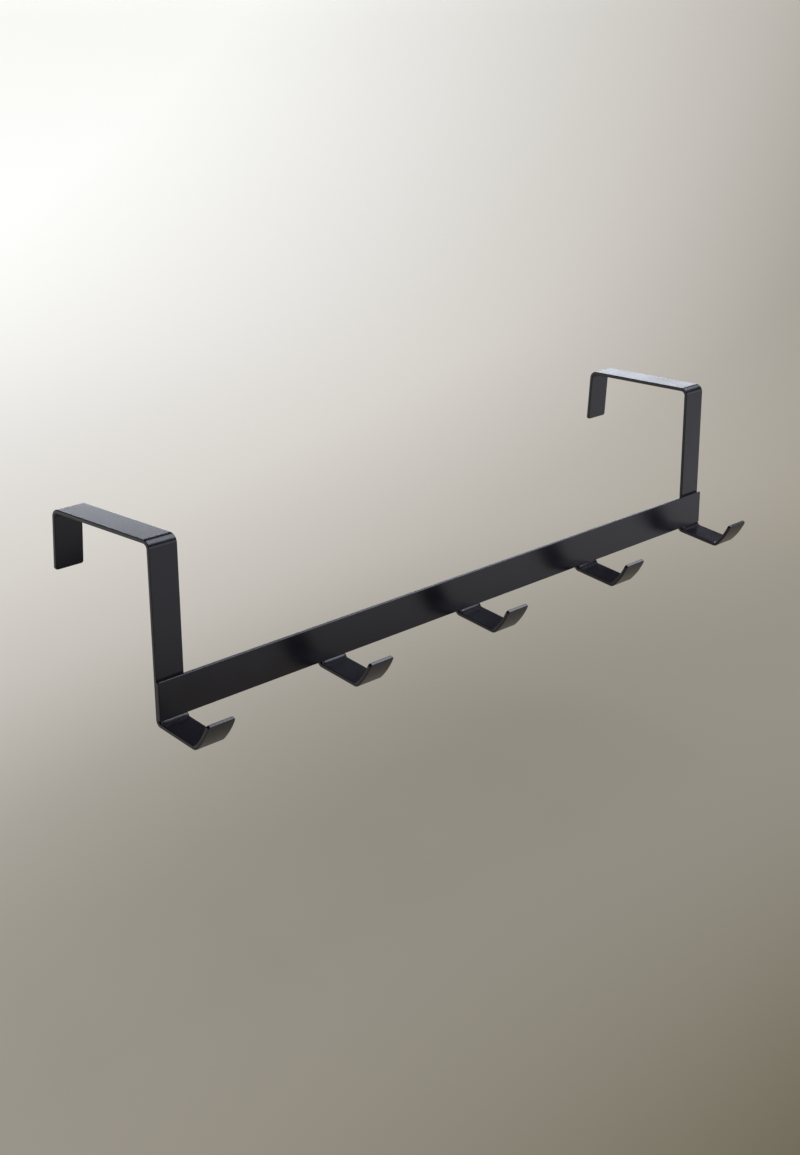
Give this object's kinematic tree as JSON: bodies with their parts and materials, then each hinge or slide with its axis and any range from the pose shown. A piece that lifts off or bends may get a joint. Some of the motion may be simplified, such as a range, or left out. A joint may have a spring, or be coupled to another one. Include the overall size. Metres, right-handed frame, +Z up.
{
  "type": "over door hook rack",
  "caption": "Black flat-steel rack that hangs over a door on two bent strip brackets and carries a row of upturned strip hooks on one crossbar.",
  "frame": {"origin": "middle of the left bracket's seat, the underside of its top strap, where it rests on the door's top", "axes": "+X along the crossbar from the left bracket to the right one, +Y towards the back of the door, +Z up; the hooks point to -Y"},
  "size_m": [0.315, 0.0835, 0.0695],
  "materials": {
    "black_powder_coat": "satin black powder coat on steel strip"
  },
  "bodies": {
    "root": {"crossbar": "black_powder_coat", "left_door_bracket": "black_powder_coat", "right_door_bracket": "black_powder_coat", "left_middle_hook": "black_powder_coat", "centre_hook": "black_powder_coat", "right_middle_hook": "black_powder_coat"}
  },
  "joints": []
}
